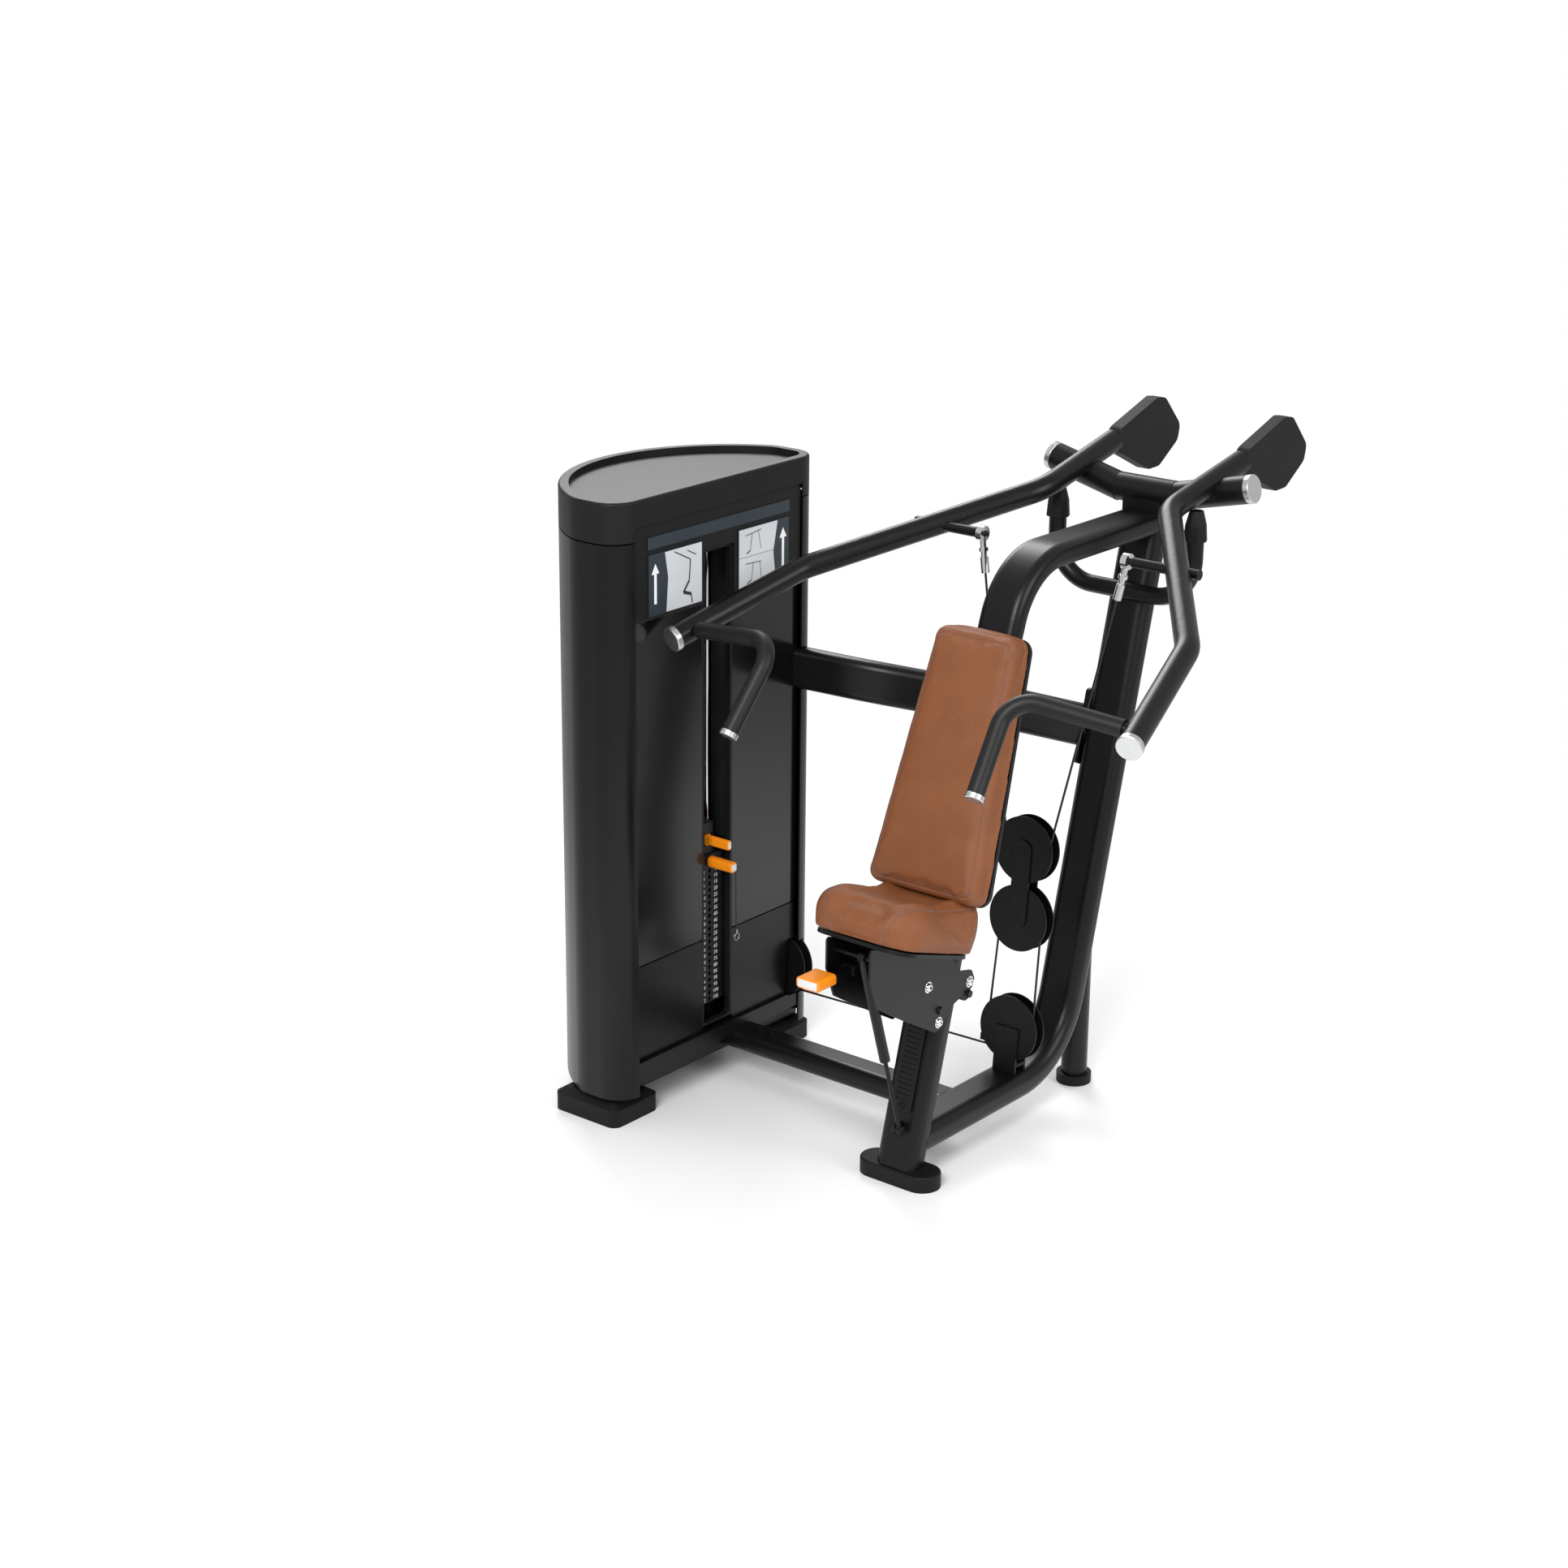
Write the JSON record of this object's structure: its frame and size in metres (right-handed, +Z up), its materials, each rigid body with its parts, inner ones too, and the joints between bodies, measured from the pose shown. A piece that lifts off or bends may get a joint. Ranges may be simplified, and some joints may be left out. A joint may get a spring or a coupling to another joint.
{
  "type": "shoulder press machine",
  "caption": "Seated shoulder press machine: curved weight tower, leaning padded seat and back, converging press arms with rear counterweights, and a cable-and-pulley drive.",
  "frame": {"origin": "on the floor under the middle of the seat post's foot", "axes": "+Z up, -Y the way the seated user faces, +X the user's left, away from the weight tower"},
  "size_m": [1.5181, 1.4588, 1.4624],
  "materials": {
    "frame_paint": "satin",
    "tower_paint": "gloss",
    "tower_matte": "matte",
    "pulley_plastic": "satin",
    "rubber": "matte",
    "cable_black": "satin",
    "leather": "satin",
    "chrome": "polished",
    "aluminium": "brushed",
    "weight_iron": "textured",
    "orange_plastic": "satin",
    "placard": "satin",
    "gas_black": "satin"
  },
  "bodies": {
    "frame": {"main_frame_tube": "frame_paint", "seat_post": "frame_paint", "base_beam": "frame_paint", "gooseneck_tube": "frame_paint", "connecting_tube": "frame_paint", "rear_leg": "frame_paint", "pivot_crossbar": "frame_paint", "stop_bar": "frame_paint", "stop_bumpers": "rubber", "tower_frame": "frame_paint", "tower_shroud": "tower_paint", "upper_panels": "tower_paint", "lower_panels": "tower_matte", "face_trim": "tower_matte", "placard_cards": "placard", "tower_cap": "tower_matte", "guide_rods": "chrome", "weight_plates": "weight_iron", "stack_bumpers": "rubber", "tower_pulley_guard": "pulley_plastic", "frame_feet": "rubber", "tower_feet": "rubber", "bottom_pulley_housing": "pulley_plastic", "post_fittings": "gas_black", "back_pad": "leather", "back_shell": "tower_matte", "drive_cable": "cable_black", "lift_strands": "cable_black", "stack_strand": "cable_black"},
    "left_arm": {"left_arm_tube": "frame_paint", "left_arm_caps": "aluminium", "left_grip": "rubber", "left_counterweight": "weight_iron"},
    "right_arm": {"right_arm_tube": "frame_paint", "right_arm_caps": "aluminium", "right_grip": "rubber", "right_counterweight": "weight_iron"},
    "left_rod": {"left_rod_end": "chrome", "left_arm_cable": "cable_black"},
    "right_rod": {"right_rod_end": "chrome", "right_arm_cable": "cable_black"},
    "block": {"block_frame": "pulley_plastic", "block_cables": "cable_black"},
    "block_upper_wheel": {"block_upper_pulley": "pulley_plastic"},
    "block_lower_wheel": {"block_lower_pulley": "pulley_plastic"},
    "stack": {"top_plate": "weight_iron", "selector_rod": "chrome"},
    "pin": {"selector_pin": "orange_plastic", "pin_lanyard": "cable_black"},
    "addon": {"addon_lever": "orange_plastic"},
    "bottom_wheel": {"bottom_pulley": "pulley_plastic"},
    "tower_wheel": {"tower_pulley": "pulley_plastic"},
    "top_rear_wheel": {"top_pulley_rear": "pulley_plastic"},
    "top_front_wheel": {"top_pulley_front": "pulley_plastic"},
    "carriage": {"seat_pad": "leather", "seat_carriage": "frame_paint", "carriage_rollers": "pulley_plastic"},
    "release": {"release_lever": "orange_plastic"},
    "gas_barrel": {"gas_cylinder": "gas_black"},
    "gas_piston": {"gas_rod": "chrome"}
  },
  "joints": [
    {"name": "left_arm_swing", "type": "hinge", "parent": "frame", "child": "left_arm", "pos_m": [0.1635, 0.8505, 1.33875], "axis": [-0.9738, -0.0429, -0.2235], "range_deg": [0, 45]},
    {"name": "right_arm_swing", "type": "hinge", "parent": "frame", "child": "right_arm", "pos_m": [-0.1635, 0.8505, 1.33875], "axis": [-0.9738, 0.0429, 0.2235], "range_deg": [0, 45.1]},
    {"name": "left_rod_swing", "type": "hinge", "parent": "left_arm", "child": "left_rod", "pos_m": [0.181, 0.48791, 1.262], "axis": [0.9807, 0.0175, -0.1946], "range_deg": [0, 39.9], "deforming": ["left_arm_cable"]},
    {"name": "right_rod_swing", "type": "hinge", "parent": "right_arm", "child": "right_rod", "pos_m": [-0.181, 0.48791, 1.262], "axis": [0.9807, -0.0175, 0.1946], "range_deg": [0, 39.9], "deforming": ["right_arm_cable"]},
    {"name": "block_lift", "type": "slide", "parent": "frame", "child": "block", "axis": [0, 0.0872, 0.9962], "range_m": [0, 0.2665], "deforming": ["lift_strands"]},
    {"name": "stack_lift", "type": "slide", "parent": "frame", "child": "stack", "axis": [0, 0, 1], "range_m": [0, 0.533], "deforming": ["stack_strand"]},
    {"name": "bottom_wheel_turn", "type": "hinge", "parent": "frame", "child": "bottom_wheel", "pos_m": [0, 0.39598, 0.21119], "axis": [0, -0.9962, 0.0872], "range_deg": [0, 587.4]},
    {"name": "tower_wheel_turn", "type": "hinge", "parent": "frame", "child": "tower_wheel", "pos_m": [-0.636, 0.39458, 0.19525], "axis": [0, -0.9962, 0.0872], "range_deg": [0, 587.4]},
    {"name": "top_rear_wheel_turn", "type": "hinge", "parent": "frame", "child": "top_rear_wheel", "pos_m": [-0.688, 0.34265, 1.296], "axis": [-1, 0, 0], "range_deg": [0, 587.4]},
    {"name": "top_front_wheel_turn", "type": "hinge", "parent": "frame", "child": "top_front_wheel", "pos_m": [-0.688, 0.18, 1.296], "axis": [-1, 0, 0], "range_deg": [0, 587.4]},
    {"name": "block_lower_wheel_turn", "type": "hinge", "parent": "block", "child": "block_lower_wheel", "pos_m": [0, 0.41777, 0.46024], "axis": [0, -0.9962, 0.0872], "range_deg": [0, 294.2]},
    {"name": "block_upper_wheel_turn", "type": "hinge", "parent": "block", "child": "block_upper_wheel", "pos_m": [0, 0.43101, 0.61166], "axis": [0, -0.9962, 0.0872], "continuous": true},
    {"name": "pin_pull", "type": "slide", "parent": "stack", "child": "pin", "axis": [1, 0, 0], "range_m": [0, 0.078]},
    {"name": "addon_lever_swing", "type": "hinge", "parent": "stack", "child": "addon", "pos_m": [-0.639, 0.128, 0.5682], "axis": [0, 0, 1], "range_deg": [-30, 30]},
    {"name": "seat_slide", "type": "slide", "parent": "frame", "child": "carriage", "axis": [0, 0.2672, 0.9636], "range_m": [-0.14, 0]},
    {"name": "gas_tilt", "type": "hinge", "parent": "carriage", "child": "gas_barrel", "pos_m": [0.015, -0.16, 0.548], "axis": [1, 0, 0], "range_deg": [0, 13.3]},
    {"name": "gas_extend", "type": "slide", "parent": "gas_barrel", "child": "gas_piston", "axis": [0, 0.3027, -0.9531], "range_m": [-0.1088, 0]},
    {"name": "release_squeeze", "type": "hinge", "parent": "carriage", "child": "release", "pos_m": [-0.035, -0.132, 0.502], "axis": [-1, 0, 0], "range_deg": [0, 12], "stiffness_Nm_per_rad": 1.5, "springref_deg": -20.05}
  ],
  "couplings": [
    {"joint": "right_arm_swing", "follows": "left_arm_swing", "ratio": 1},
    {"joint": "left_rod_swing", "follows": "left_arm_swing", "ratio": 0.88356},
    {"joint": "right_rod_swing", "follows": "left_arm_swing", "ratio": 0.88356},
    {"joint": "block_lift", "follows": "left_arm_swing", "m_per_rad": 0.33879},
    {"joint": "stack_lift", "follows": "left_arm_swing", "m_per_rad": 0.67758},
    {"joint": "bottom_wheel_turn", "follows": "left_arm_swing", "ratio": 13.03},
    {"joint": "tower_wheel_turn", "follows": "left_arm_swing", "ratio": 13.03},
    {"joint": "top_rear_wheel_turn", "follows": "left_arm_swing", "ratio": 13.03},
    {"joint": "top_front_wheel_turn", "follows": "left_arm_swing", "ratio": 13.03},
    {"joint": "block_lower_wheel_turn", "follows": "left_arm_swing", "ratio": 6.5152},
    {"joint": "gas_tilt", "follows": "seat_slide", "rad_per_m": -1.6334},
    {"joint": "gas_extend", "follows": "seat_slide", "ratio": 0.77476}
  ]
}
